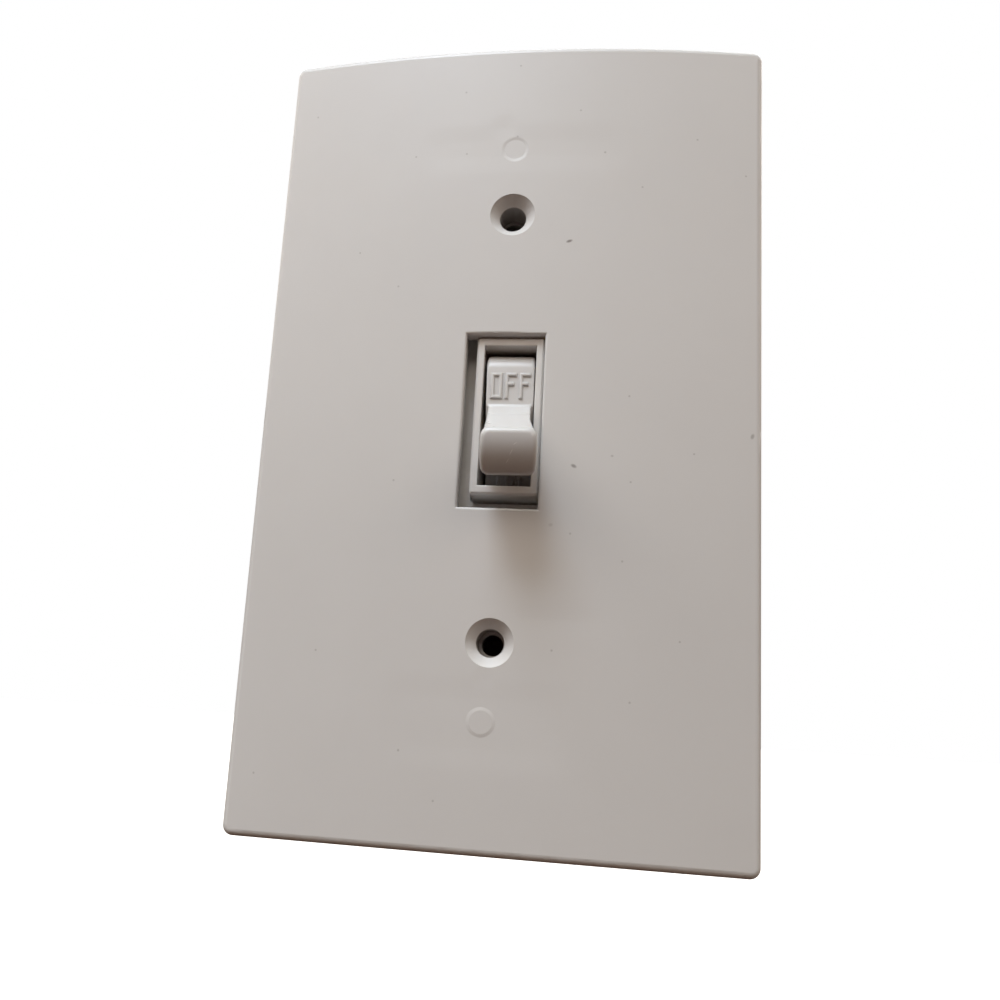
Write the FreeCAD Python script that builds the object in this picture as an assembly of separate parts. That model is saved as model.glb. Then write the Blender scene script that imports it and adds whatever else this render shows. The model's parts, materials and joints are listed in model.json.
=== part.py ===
"""Single-pole toggle wall switch with its cover plate, in millimetres.

Frame: the wall's surface is the plane y = 0, the front of the switch faces -Y and +Z is up.
The origin is on the wall's surface, midway between the cover plate's two screw holes.
The toggle is drawn at OFF, with its handle pointing down.
"""

import FreeCAD, Part
import math
import os

V = FreeCAD.Vector
X, Y, Z = V(1, 0, 0), V(0, 1, 0), V(0, 0, 1)

# ---- cover plate -------------------------------------------------------------------------------
PLATE_W, PLATE_H = 70.0, 115.2      # at the wall
PLATE_DEPTH = 6.5                   # wall to the middle of the crowned front
CROWN_DROP = 3.2                    # how much lower the front is at its two sides
PLATE_T = 2.1                       # wall thickness
PLATE_DRAFT = math.radians(8.0)     # slope of the plate's sides
PLATE_CORNER_R = 1.4
PLATE_EDGE_R = 0.95                 # rounding of the front edge
OPENING_W, OPENING_H = 10.8, 24.5
OPENING_EDGE_R = 0.35
PLATE_SCREW_Z = 30.15               # half the pitch of the plate's two screws
PLATE_HOLE_R = 1.85
SINK_R, SINK_DEPTH = 3.2, 1.35
BOSS_R = 4.2
RIB_X, RIB_T, RIB_DEPTH = 20.0, 1.2, 1.1

# ---- strap -------------------------------------------------------------------------------------
STRAP_T = 1.3
STRAP_GAP = 0.05                    # plate's bosses to the strap
STRAP_END_Z = 53.0
STRAP_MID_W, STRAP_MID_H = 26.6, 58.0
STRAP_END_W = 19.0
EAR_W, EAR_LOW_Z, EAR_R = 29.0, 46.0, 2.5
TAPPED_R = 1.45
BOX_SCREW_Z = 41.67                 # half the pitch of the two box screws
BOX_SLOT_W, BOX_SLOT_L = 4.6, 8.0
TAB_Z, TAB_W = -36.0, 9.0           # ground tab
TAB_X, TAB_END_Y = -14.2, 9.0
GROUND_SCREW_Y = 4.6

# ---- switch body, moved a little off the plate's middle ------------------------------------------
BODY_X, BODY_Z = 0.68, 1.0
BODY_W, BODY_H = 26.0, 69.0
COVER_T = 4.0                       # flange behind the strap
COLLAR_W, COLLAR_H = 9.3, 22.4
COLLAR_FRONT = 5.5                  # in front of the wall's surface
COLLAR_CORNER_R, COLLAR_CHAMFER, SLOT_RIM_R = 0.45, 0.28, 0.16
SLOT_W, SLOT_H = 7.16, 19.95
SLOT_LIP = 3.0                      # depth of the slot's own walls
SLOT_POCKET_H = 21.4                # wider space behind those walls
BASE_BACK = 24.0
POCKET_W, POCKET_H, POCKET_R, POCKET_END = 5.0, 3.7, 1.0, 13.0    # for the ends of the plate's screws
CAVITY_LEFT, CAVITY_RIGHT = -8.0, 7.0
CAVITY_END = 23.4
LINE_FLOOR, LOAD_FLOOR = 18.6, 16.8
FLOOR_STEP_Z = -9.0

# ---- toggle, drawn along +U from its pivot, before it is turned ---------------------------------
PIVOT_Y = 1.7
THROW_HALF = 25.8                   # degrees each side of straight out
HANDLE_LEAN = 2.3                   # degrees that the handle leans to the right, in its slot's play
DRUM_HALF_W = 3.25
FLAT_TURN = 29.8                     # degrees between the handle and the way that each lettered flat faces
FLAT_LENGTH = 5.46
LOBE_R = 3.0                         # rounding at the far edge of each flat
RIDGE_U, RIDGE_V = 5.94, 4.25
STEP_U, STEP_V = 8.3, 3.52
SCOOP_U, SCOOP_V = 13.4, 2.62
TIP_U, TIP_V, TIP_DOME = 18.5, 3.15, 0.85
WAIST_HALF, TIP_HALF = 2.9, 3.58
TIP_SHIFT = 0.35                     # how far the tip is to the right of the waist
TRUNNION_R, TRUNNION_END = 1.5, 5.3
PIVOT_CLEAR = 0.05
TAIL_HALF_W, TAIL_V, TAIL_END = 2.6, 2.7, 9.4
BORE_R, BORE_END = 1.62, 1.4
MARK_RAISE, MARK_STROKE = 0.24, 0.52
MARK_W, MARK_H, MARK_PITCH = 1.5, 3.8, 1.98
MARK_SHIFT = 0.2                     # how much nearer the words are to the drum than to the ridges

# ---- plunger, spring and contact arm ----------------------------------------------------------
PLUNGER_R, PLUNGER_TIP, PLUNGER_INNER = 1.55, 12.0, 6.2
SPRING_R, SPRING_WIRE, SPRING_TURNS = 1.2, 0.17, 5.0
WIRE_SIDES = 8
ARM_Y = 15.6                        # axis that the contact arm rocks on
ARM_TILT = 6.0                      # degrees each side of level
ARM_W, ARM_T = 5.0, 0.9
SEAT_R, SEAT_CENTRE_Y, SEAT_END_Z = 7.57, 6.28, 6.2
ARM_END_Z = 17.8
ARM_PIN_R = 0.75
EYE_R = 1.4
CONTACT_Z, CONTACT_R, CONTACT_T = 15.4, 1.9, 1.2
FIXED_FACE_Y = 14.56

# ---- terminals and screws -----------------------------------------------------------------------
LEG_T = 1.2
TERMINAL_Z, TERMINAL_Y = 17.5, 11.1
WINDOW_HALF_Z, WINDOW_HALF_Y = 5.0, 4.7
LEG_HALF_Z, LEG_FRONT_Y = 5.7, 5.4
FOOT_Y, BUS_Y = 15.6, 17.4
STUD_R = 2.0
TERMINAL_HEAD_R, TERMINAL_HEAD_T, TERMINAL_SHANK = 4.1, 2.4, 3.6
BOX_SCREW_R, BOX_SCREW_NECK_R, BOX_SCREW_HEAD_R = 1.75, 1.5, 3.4
BOX_SCREW_HEAD_T, BOX_SCREW_END, NECK_END = 1.8, 26.0, 2.0
RIVET_X, RIVET_Z, RIVET_R, RIVET_HEAD_R = 10.6, 24.7, 1.05, 1.8
RIVET_CLEAR = 0.03
WIRE_X, WIRE_Z, WIRE_R = 4.2, 21.9, 1.15
CLIP_T, CLIP_W = 0.35, 2.2


# ---- small helpers ----------------------------------------------------------------------------
def box(x0, x1, y0, y1, z0, z1):
    return Part.makeBox(x1 - x0, y1 - y0, z1 - z0, V(x0, y0, z0))


def along_y(radius, x, z, y0, y1):
    return Part.makeCylinder(radius, y1 - y0, V(x, y0, z), Y)


def along_x(radius, y, z, x0, x1):
    return Part.makeCylinder(radius, x1 - x0, V(x0, y, z), X)


def rounded_wire(w, h, r, y, x=0.0, z=0.0):
    """Rounded rectangle w by h in the plane at y, centred on x and z."""
    a, b = w / 2 - r, h / 2 - r
    d = r * math.sqrt(0.5)
    edges = []
    corners = ((a, b, 1, 1), (-a, b, -1, 1), (-a, -b, -1, -1), (a, -b, 1, -1))
    for i, (cx, cz, sx, sz) in enumerate(corners):
        side = V(x + cx + sx * r, y, z + cz)
        top = V(x + cx, y, z + cz + sz * r)
        first, last = (side, top) if i % 2 == 0 else (top, side)
        middle = V(x + cx + sx * d, y, z + cz + sz * d)
        edges.append((first, middle, last))
    wire = []
    for i, (first, middle, last) in enumerate(edges):
        wire.append(Part.Arc(first, middle, last).toShape())
        wire.append(Part.makeLine(last, edges[(i + 1) % 4][0]))
    return Part.Wire(wire)


def rounded_block(w, h, r, y0, y1, x=0.0, z=0.0):
    return Part.Face(rounded_wire(w, h, r, y0, x, z)).extrude(V(0, y1 - y0, 0))


def edges_where(shape, test):
    return [e for e in shape.Edges if test(e)]


def clean(shape):
    shape = shape.removeSplitter()
    return shape.Solids[0] if len(shape.Solids) == 1 else shape


def save(name, shape):
    if not shape.isValid():
        raise RuntimeError(name + " is not valid")
    shape.exportStep("parts/" + name + ".step")
    print(name, len(shape.Solids), "solid(s)", round(shape.Volume, 2), "mm3")


def body_place(shape):
    """Moves a shape drawn on the switch body's own centre to where the body is."""
    return shape.translated(V(BODY_X, 0, BODY_Z))


def toggle_place(shape):
    """Turns a shape drawn along +X from the pivot, with +Z up, to the toggle's OFF position."""
    shape = shape.copy()
    shape.rotate(V(0, 0, 0), Z, -90)
    shape.rotate(V(0, 0, 0), X, THROW_HALF)
    shape.translate(V(0, PIVOT_Y, 0))
    return body_place(shape)


def arm_place(shape):
    """Rocks a shape drawn with the contact arm level to the arm's OFF position."""
    shape = shape.copy()
    shape.rotate(V(0, ARM_Y, 0), X, -ARM_TILT)
    return body_place(shape)


# ---- cover plate --------------------------------------------------------------------------------
def plate_shell(inset):
    """The plate's outer shape, or its hollow when inset by the wall thickness."""
    half_w = PLATE_W / 2
    crown_r = (half_w ** 2 + CROWN_DROP ** 2) / (2 * CROWN_DROP)
    reach = PLATE_DEPTH + 1.0
    narrow = 2 * reach * math.tan(PLATE_DRAFT)
    w, h = PLATE_W - 2 * inset, PLATE_H - 2 * inset
    r = max(PLATE_CORNER_R - inset, 0.4)
    back = rounded_wire(w, h, r, 0)
    front = rounded_wire(w - narrow, h - narrow, r, -reach)
    block = Part.makeLoft([back, front], True, True)
    crown = Part.makeCylinder(crown_r - inset, PLATE_H, V(0, crown_r - PLATE_DEPTH, -PLATE_H / 2), Z)
    return block.common(crown)


def front_height(x):
    """Distance from the wall to the crowned front at x."""
    half_w = PLATE_W / 2
    crown_r = (half_w ** 2 + CROWN_DROP ** 2) / (2 * CROWN_DROP)
    return PLATE_DEPTH - crown_r + math.sqrt(crown_r ** 2 - x ** 2)


def wall_plate():
    outer = plate_shell(0)
    side_y = -front_height(PLATE_W / 2)

    def on_front_edge(edge):
        b = edge.BoundBox
        at_rim = b.ZMax > PLATE_H / 2 - 3 or b.ZMin < 3 - PLATE_H / 2 or abs(b.XMax) > PLATE_W / 2 - 3
        long_or_corner = b.YMax < side_y + 0.6
        return at_rim and long_or_corner

    outer = outer.makeFillet(PLATE_EDGE_R, edges_where(outer, on_front_edge))
    shell = outer.cut(plate_shell(PLATE_T))
    for sign in (-1, 1):
        boss = along_y(BOSS_R, 0, sign * PLATE_SCREW_Z, 1 - PLATE_DEPTH, -STRAP_T - STRAP_GAP)
        shell = shell.fuse(boss)
        inner_y = PLATE_T - front_height(RIB_X)
        rib = box(-RIB_T / 2, RIB_T / 2, inner_y - 0.8, inner_y + RIB_DEPTH, -50, 50)
        shell = shell.fuse(rib.translated(V(sign * RIB_X, 0, 0)))
    opening = box(-OPENING_W / 2, OPENING_W / 2, -PLATE_DEPTH - 1, 0, -OPENING_H / 2, OPENING_H / 2)
    shell = shell.cut(opening)

    def on_opening(edge):
        b = edge.BoundBox
        near = abs(b.XMax) < OPENING_W and abs(b.ZMax) < OPENING_H
        return near and b.YMax < -PLATE_DEPTH + 0.2

    shell = shell.makeFillet(OPENING_EDGE_R, edges_where(shell, on_opening))
    slope = (SINK_R - PLATE_HOLE_R) / SINK_DEPTH
    for sign in (-1, 1):
        z = sign * PLATE_SCREW_Z
        shell = shell.cut(along_y(PLATE_HOLE_R, 0, z, -PLATE_DEPTH - 1, 0))
        sink = Part.makeCone(SINK_R + slope, PLATE_HOLE_R, SINK_DEPTH + 1, V(0, -PLATE_DEPTH - 1, z), Y)
        shell = shell.cut(sink)
    return clean(shell)


# ---- strap --------------------------------------------------------------------------------------
def mounting_strap():
    flat = rounded_block(STRAP_END_W, 2 * STRAP_END_Z, 2.0, -STRAP_T, 0)
    flat = flat.fuse(rounded_block(STRAP_MID_W, STRAP_MID_H, 2.5, -STRAP_T, 0))
    ear_h = STRAP_END_Z - EAR_LOW_Z
    for sign in (-1, 1):
        z = sign * (EAR_LOW_Z + STRAP_END_Z) / 2
        flat = flat.fuse(rounded_block(EAR_W, ear_h, EAR_R, -STRAP_T, 0, 0, z))
    bend = box(TAB_X, -STRAP_END_W / 2 + 1, -STRAP_T, 0, TAB_Z - TAB_W / 2, TAB_Z + TAB_W / 2)
    leg = box(TAB_X, TAB_X + STRAP_T, -STRAP_T, TAB_END_Y, TAB_Z - TAB_W / 2, TAB_Z + TAB_W / 2)
    tab = bend.fuse(leg).removeSplitter()

    def outer_bend(edge):
        b = edge.BoundBox
        return b.XMax < TAB_X + 0.01 and b.YMax < -STRAP_T + 0.01 and b.ZLength > 1

    tab = tab.makeFillet(1.2, edges_where(tab, outer_bend))

    def leg_corner(edge):
        b = edge.BoundBox
        return b.YMin > TAB_END_Y - 0.01 and b.XLength > 1

    tab = tab.makeFillet(1.8, edges_where(tab, leg_corner))
    strap = flat.fuse(tab)
    window = rounded_block(COLLAR_W + 0.5, COLLAR_H + 0.7, 0.6, -STRAP_T - 1, 1, BODY_X, BODY_Z)
    strap = strap.cut(window)
    for sign in (-1, 1):
        strap = strap.cut(along_y(TAPPED_R, 0, sign * PLATE_SCREW_Z, -STRAP_T - 1, 1))
        slot = rounded_block(BOX_SLOT_L, BOX_SLOT_W, BOX_SLOT_W / 2 - 0.01, -STRAP_T - 1, 1,
                             0, sign * BOX_SCREW_Z)
        strap = strap.cut(slot)
        for side in (-1, 1):
            x = side * (STRAP_END_W / 2 + 0.3)
            notch = box(x - 0.45, x + 0.45, -STRAP_T - 1, 1, STRAP_END_Z - 1.6, STRAP_END_Z + 1)
            strap = strap.cut(notch if sign > 0 else notch.mirror(V(0, 0, 0), Z))
            hole = along_y(0.9, x, sign * (EAR_LOW_Z + 1.9), -STRAP_T - 1, 1)
            strap = strap.cut(hole)
    for x, z in rivet_places():
        strap = strap.cut(along_y(RIVET_R + RIVET_CLEAR, x, z, -STRAP_T - 1, 1))
    strap = strap.cut(along_x(STUD_R + 0.05, GROUND_SCREW_Y, TAB_Z, TAB_X - 1, TAB_X + STRAP_T + 1))
    return clean(strap)


# ---- switch body -----------------------------------------------------------------------------
def rivet_places():
    return [(BODY_X + sx * RIVET_X, BODY_Z + sz * RIVET_Z) for sx in (-1, 1) for sz in (-1, 1)]


def rivet_holes(shape, y0, y1):
    for x, z in rivet_places():
        shape = shape.cut(along_y(RIVET_R + RIVET_CLEAR, x - BODY_X, z - BODY_Z, y0, y1))
    return shape


def screw_pockets(shape, y0):
    """Cuts blind pockets behind the strap's two tapped holes."""
    for sign in (-1, 1):
        z = sign * PLATE_SCREW_Z - BODY_Z
        shape = shape.cut(rounded_block(POCKET_W, POCKET_H, POCKET_R, y0, POCKET_END, -BODY_X, z))
    return shape


def switch_cover():
    flange = rounded_block(BODY_W, BODY_H, 2.0, 0, COVER_T)
    collar = rounded_block(COLLAR_W, COLLAR_H, COLLAR_CORNER_R, -COLLAR_FRONT, 0.5)

    def front_rim(edge):
        return edge.BoundBox.YMax < -COLLAR_FRONT + 0.01

    collar = collar.makeChamfer(COLLAR_CHAMFER, edges_where(collar, front_rim))
    cover = flange.fuse(collar).removeSplitter()
    slot = box(-SLOT_W / 2, SLOT_W / 2, -COLLAR_FRONT - 1, COVER_T + 1, -SLOT_H / 2, SLOT_H / 2)
    cover = cover.cut(slot)

    def slot_rim(edge):
        b = edge.BoundBox
        inside = abs(b.XMax) < SLOT_W / 2 + 0.05 and abs(b.ZMax) < SLOT_H / 2 + 0.05
        return inside and b.YMax < -COLLAR_FRONT + 0.01

    cover = cover.makeFillet(SLOT_RIM_R, edges_where(cover, slot_rim))
    pocket_y = -COLLAR_FRONT + SLOT_LIP
    pocket = box(-SLOT_W / 2, SLOT_W / 2, pocket_y, COVER_T + 1, -SLOT_POCKET_H / 2, SLOT_POCKET_H / 2)
    cover = cover.cut(pocket)
    bearing_r = TRUNNION_R + PIVOT_CLEAR
    bearing_end = TRUNNION_END + 0.15
    cover = cover.cut(along_x(bearing_r, PIVOT_Y, 0, -bearing_end, bearing_end))
    mouth = box(-bearing_end, bearing_end, PIVOT_Y, COVER_T + 1, -bearing_r, bearing_r)
    cover = rivet_holes(cover.cut(mouth), -1, COVER_T + 1)
    return body_place(clean(screw_pockets(cover, -1)))


def housing_base():
    base = rounded_block(BODY_W, BODY_H, 2.0, COVER_T, BASE_BACK)

    def back_rim(edge):
        return edge.BoundBox.YMin > BASE_BACK - 0.01

    base = base.makeFillet(0.8, edges_where(base, back_rim))
    line_side = box(CAVITY_LEFT, CAVITY_RIGHT, COVER_T - 1, LINE_FLOOR, FLOOR_STEP_Z, CAVITY_END)
    load_side = box(CAVITY_LEFT, CAVITY_RIGHT, COVER_T - 1, LOAD_FLOOR, -CAVITY_END, FLOOR_STEP_Z)
    base = base.cut(line_side).cut(load_side)
    # posts that close the cover's bearings from behind
    bearing_r = TRUNNION_R + PIVOT_CLEAR
    for side in (-1, 1):
        near, far = 3.75, TRUNNION_END + 0.1
        post = box(near, far, PIVOT_Y + 0.35, LINE_FLOOR, -bearing_r + 0.05, bearing_r - 0.05)
        root = box(near, far + 1.8, COVER_T + 3.6, LINE_FLOOR, -2.6, 2.6)
        post = post.fuse(root).cut(along_x(bearing_r, PIVOT_Y, 0, 0, 8))
        base = base.fuse(post if side > 0 else post.mirror(V(0, 0, 0), X))
    for side in (-1, 1):
        z = side * TERMINAL_Z
        window = box(CAVITY_RIGHT - 1, BODY_W / 2 + 1,
                     TERMINAL_Y - WINDOW_HALF_Y, TERMINAL_Y + WINDOW_HALF_Y,
                     z - WINDOW_HALF_Z, z + WINDOW_HALF_Z)
        base = base.cut(window)
        base = base.cut(along_y(WIRE_R, WIRE_X, side * WIRE_Z, LOAD_FLOOR - 3, BASE_BACK + 1))
    strip_gauge = box(-CAVITY_RIGHT, -CAVITY_RIGHT + 1.2, BASE_BACK - 0.5, BASE_BACK + 1, -6.5, 6.5)
    base = rivet_holes(base.cut(strip_gauge), COVER_T - 1, BASE_BACK + 1)
    return body_place(clean(screw_pockets(base, COVER_T - 1)))


# ---- toggle -------------------------------------------------------------------------------------
def flat_frame():
    """The way that the upper flat faces, and the way along it from its ridge to its lobe."""
    turn = math.radians(FLAT_TURN)
    return V(math.cos(turn), 0, math.sin(turn)), V(-math.sin(turn), 0, math.cos(turn))


def drum_profile():
    """Closed outline of the drum: two flats that end in ridges and in rounded lobes, and a flat back."""
    facing, along = flat_frame()
    ridge = V(RIDGE_U, 0, RIDGE_V)
    lobe_front = ridge + along * FLAT_LENGTH
    centre = lobe_front - facing * LOBE_R
    half_way = (math.radians(FLAT_TURN) + math.pi) / 2
    lobe_middle = centre + V(math.cos(half_way), 0, math.sin(half_way)) * LOBE_R
    lobe_back = centre - V(LOBE_R, 0, 0)

    def low(p):
        return V(p.x, 0, -p.z)

    return Part.Wire([
        Part.makeLine(low(ridge), ridge),
        Part.makeLine(ridge, lobe_front),
        Part.Arc(lobe_front, lobe_middle, lobe_back).toShape(),
        Part.makeLine(lobe_back, low(lobe_back)),
        Part.Arc(low(lobe_back), low(lobe_middle), low(lobe_front)).toShape(),
        Part.makeLine(low(lobe_front), low(ridge)),
    ])


def handle_block():
    """Side view of the handle drawn through, cut to its plan view of a waist and a wider tip."""
    def pt(u, v):
        return V(u, 0, v)

    side = Part.Wire([
        Part.makeLine(pt(RIDGE_U - 4, -RIDGE_V), pt(RIDGE_U - 4, RIDGE_V)),
        Part.makeLine(pt(RIDGE_U - 4, RIDGE_V), pt(RIDGE_U, RIDGE_V)),
        Part.makeLine(pt(RIDGE_U, RIDGE_V), pt(STEP_U, STEP_V)),
        Part.Arc(pt(STEP_U, STEP_V), pt(SCOOP_U, SCOOP_V), pt(TIP_U, TIP_V)).toShape(),
        Part.Arc(pt(TIP_U, TIP_V), pt(TIP_U + TIP_DOME, 0), pt(TIP_U, -TIP_V)).toShape(),
        Part.Arc(pt(TIP_U, -TIP_V), pt(SCOOP_U, -SCOOP_V), pt(STEP_U, -STEP_V)).toShape(),
        Part.makeLine(pt(STEP_U, -STEP_V), pt(RIDGE_U, -RIDGE_V)),
        Part.makeLine(pt(RIDGE_U, -RIDGE_V), pt(RIDGE_U - 4, -RIDGE_V)),
    ])
    side_block = Part.Face(side).extrude(V(0, 10, 0)).translated(V(0, -5, 0))

    def flat(u, x):
        return V(u, x, 0)

    end = TIP_U + TIP_DOME + 0.5
    bulge_u = TIP_U - 1.6
    flare_u = (STEP_U + bulge_u) / 2 - 0.4
    waist_end_u = STEP_U + 1.0
    flare = WAIST_HALF + 0.2
    middle = TIP_SHIFT
    plan = Part.Wire([
        Part.makeLine(flat(0, -WAIST_HALF), flat(0, WAIST_HALF)),
        Part.makeLine(flat(0, WAIST_HALF), flat(waist_end_u, WAIST_HALF)),
        Part.Arc(flat(waist_end_u, WAIST_HALF), flat(flare_u, flare + middle / 3),
                 flat(bulge_u, middle + TIP_HALF)).toShape(),
        Part.Arc(flat(bulge_u, middle + TIP_HALF), flat(TIP_U, middle + TIP_HALF + 0.02),
                 flat(end, middle + TIP_HALF - 0.3)).toShape(),
        Part.makeLine(flat(end, middle + TIP_HALF - 0.3), flat(end, middle + 0.3 - TIP_HALF)),
        Part.Arc(flat(end, middle + 0.3 - TIP_HALF), flat(TIP_U, middle - TIP_HALF - 0.02),
                 flat(bulge_u, middle - TIP_HALF)).toShape(),
        Part.Arc(flat(bulge_u, middle - TIP_HALF), flat(flare_u, middle / 3 - flare),
                 flat(waist_end_u, -WAIST_HALF)).toShape(),
        Part.makeLine(flat(waist_end_u, -WAIST_HALF), flat(0, -WAIST_HALF)),
    ])
    plan_block = Part.Face(plan).extrude(V(0, 0, 16)).translated(V(0, 0, -8))
    return side_block.common(plan_block)


def letter_strokes(word):
    """Plain block capitals standing on the plane y = 0 and centred on the origin."""
    w, h, s, pitch = MARK_W, MARK_H, MARK_STROKE, MARK_PITCH
    shapes = {
        "O": [(0, s, 0, h), (w - s, w, 0, h), (0, w, h - s, h), (0, w, 0, s)],
        "F": [(0, s, 0, h), (0, w, h - s, h), (0, w * 0.8, h * 0.5, h * 0.5 + s)],
        "N": [(0, s, 0, h), (w - s, w, 0, h)],    # its slant is added below
    }
    width = pitch * (len(word) - 1) + w
    out = []
    for i, letter in enumerate(word):
        start = i * pitch - width / 2
        for x0, x1, z0, z1 in shapes[letter]:
            out.append(box(start + x0, start + x1, -MARK_RAISE, 0.4, z0 - h / 2, z1 - h / 2))
        if letter == "N":
            slant = math.degrees(math.atan2(w - s, h))
            bar = box(-s / 2, s / 2, -MARK_RAISE, 0.4, -h / 2, h / 2)
            bar.rotate(V(0, 0, 0), Y, -slant)
            out.append(bar.translated(V(start + w / 2, 0, 0)))
    solid = out[0].multiFuse(out[1:])
    trim = box(-5, 5, -MARK_RAISE, 0.4, -h / 2, h / 2)
    return solid.common(trim)


def toggle_lever():
    drum = Part.Face(drum_profile()).extrude(V(0, 2 * DRUM_HALF_W, 0)).translated(V(0, -DRUM_HALF_W, 0))
    lever = drum.fuse(handle_block())
    # each word stands on its flat, upright to someone who faces that flat
    facing, along = flat_frame()
    ridge = V(RIDGE_U, 0, RIDGE_V)
    flat_distance = ridge.dot(facing)
    middle = ridge.dot(along) + FLAT_LENGTH / 2 + MARK_SHIFT
    for word, sign in (("OFF", 1), ("ON", -1)):
        marks = letter_strokes(word)
        marks.rotate(V(0, 0, 0), Z, 90)
        marks.translate(V(flat_distance, 0, sign * middle))
        marks.rotate(V(0, 0, 0), Y, -sign * FLAT_TURN)
        lever = lever.fuse(marks)
    lever.rotate(V(0, 0, 0), Z, HANDLE_LEAN)
    trunnions = Part.makeCylinder(TRUNNION_R, 2 * TRUNNION_END, V(0, -TRUNNION_END, 0), Y)
    tail = Part.makeBox(TAIL_END, 2 * TAIL_HALF_W, 2 * TAIL_V, V(-TAIL_END, -TAIL_HALF_W, -TAIL_V))
    bore = Part.makeCylinder(BORE_R, TAIL_END, V(-TAIL_END - BORE_END, 0, 0), X)
    lever = lever.multiFuse([trunnions, tail]).cut(bore)
    return toggle_place(clean(lever))


def spring_plunger():
    stem_end = PLUNGER_TIP - PLUNGER_R
    stem = Part.makeCylinder(PLUNGER_R, stem_end - PLUNGER_INNER, V(-stem_end, 0, 0), X)
    nose = Part.makeSphere(PLUNGER_R, V(-stem_end, 0, 0))
    return toggle_place(clean(stem.fuse(nose)))


def toggle_spring():
    start, end = BORE_END + SPRING_WIRE + 0.02, PLUNGER_INNER - SPRING_WIRE - 0.02
    pitch = (end - start) / SPRING_TURNS
    helix = Part.makeHelix(pitch, end - start, SPRING_R)
    # an eight-sided wire keeps a fine coil's mesh small and close to its faces
    corners = []
    for i in range(WIRE_SIDES):
        turn = (i + 0.5) * 2 * math.pi / WIRE_SIDES
        corners.append(V(SPRING_R + SPRING_WIRE * math.cos(turn), 0, SPRING_WIRE * math.sin(turn)))
    ring = Part.makePolygon(corners + corners[:1])
    coil = Part.Wire(helix).makePipeShell([ring], True, True)
    coil.rotate(V(0, 0, 0), Y, -90)
    coil.translate(V(-start, 0, 0))
    return toggle_place(coil.Solids[0])


# ---- contact arm and terminals ------------------------------------------------------------------
def contact_arm():
    outer = along_x(SEAT_R + ARM_T, SEAT_CENTRE_Y, 0, -ARM_W / 2, ARM_W / 2)
    inner = along_x(SEAT_R, SEAT_CENTRE_Y, 0, -ARM_W, ARM_W)
    seat = outer.cut(inner)
    end_y = SEAT_CENTRE_Y + math.sqrt(SEAT_R ** 2 - SEAT_END_Z ** 2)
    seat = seat.common(box(-ARM_W, ARM_W, end_y, ARM_Y + 5, -SEAT_END_Z - ARM_T, SEAT_END_Z))
    blade = box(-ARM_W / 2, ARM_W / 2, end_y, end_y + ARM_T, -ARM_END_Z, -SEAT_END_Z + 0.3)
    eye = along_x(EYE_R, ARM_Y, 0, -ARM_W / 2, ARM_W / 2)
    arm = seat.fuse(blade).fuse(eye)
    arm = arm.cut(along_x(ARM_PIN_R + PIVOT_CLEAR, ARM_Y, 0, -ARM_W, ARM_W))
    arm = arm.cut(along_x(SEAT_R, SEAT_CENTRE_Y, 0, -ARM_W, ARM_W))
    return arm_place(clean(arm)), end_y + ARM_T


def contact_button(face_y, back_y, z):
    """Domed silver button between two planes; its domed face is at face_y."""
    low, high = min(face_y, back_y), max(face_y, back_y)
    button = along_y(CONTACT_R, 0, z, low, high)

    def face_rim(edge):
        return abs(edge.BoundBox.YMin - face_y) < 0.01 and edge.BoundBox.XLength > 1

    return button.makeFillet(0.35, edges_where(button, face_rim))


def arm_pin():
    half = ARM_W / 2 + 1.25
    return body_place(along_x(ARM_PIN_R, ARM_Y, 0, -half, half))


def terminal_leg(side, back_y):
    z = side * TERMINAL_Z
    leg = box(CAVITY_RIGHT - LEG_T, CAVITY_RIGHT, LEG_FRONT_Y, back_y, z - LEG_HALF_Z, z + LEG_HALF_Z)
    return leg.cut(along_x(STUD_R + 0.05, TERMINAL_Y, z, 0, BODY_W))


def line_terminal():
    bus_end = BUS_Y + LEG_T
    reach = ARM_W / 2 + 1.25
    bus = box(-reach, reach, BUS_Y, bus_end, -2.0, TERMINAL_Z - LEG_HALF_Z + 1)
    foot = box(-reach, CAVITY_RIGHT, BUS_Y, bus_end, TERMINAL_Z - LEG_HALF_Z, TERMINAL_Z + 1.5)
    bar = bus.fuse(foot).fuse(terminal_leg(1, bus_end))
    for side in (-1, 1):
        x0, x1 = sorted((side * (ARM_W / 2 + 0.2), side * reach))
        ear = box(x0, x1, ARM_Y - 1.6, BUS_Y + 0.5, -1.6, 1.6)
        bar = bar.fuse(ear)
    bar = bar.cut(along_x(ARM_PIN_R, ARM_Y, 0, -BODY_W, BODY_W))
    return body_place(clean(bar))


def load_terminal():
    foot_end = FOOT_Y + LEG_T
    foot = box(-2.6, CAVITY_RIGHT, FOOT_Y, foot_end, -TERMINAL_Z - 1.0, -TERMINAL_Z + LEG_HALF_Z)
    return body_place(clean(foot.fuse(terminal_leg(-1, foot_end))))


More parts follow.
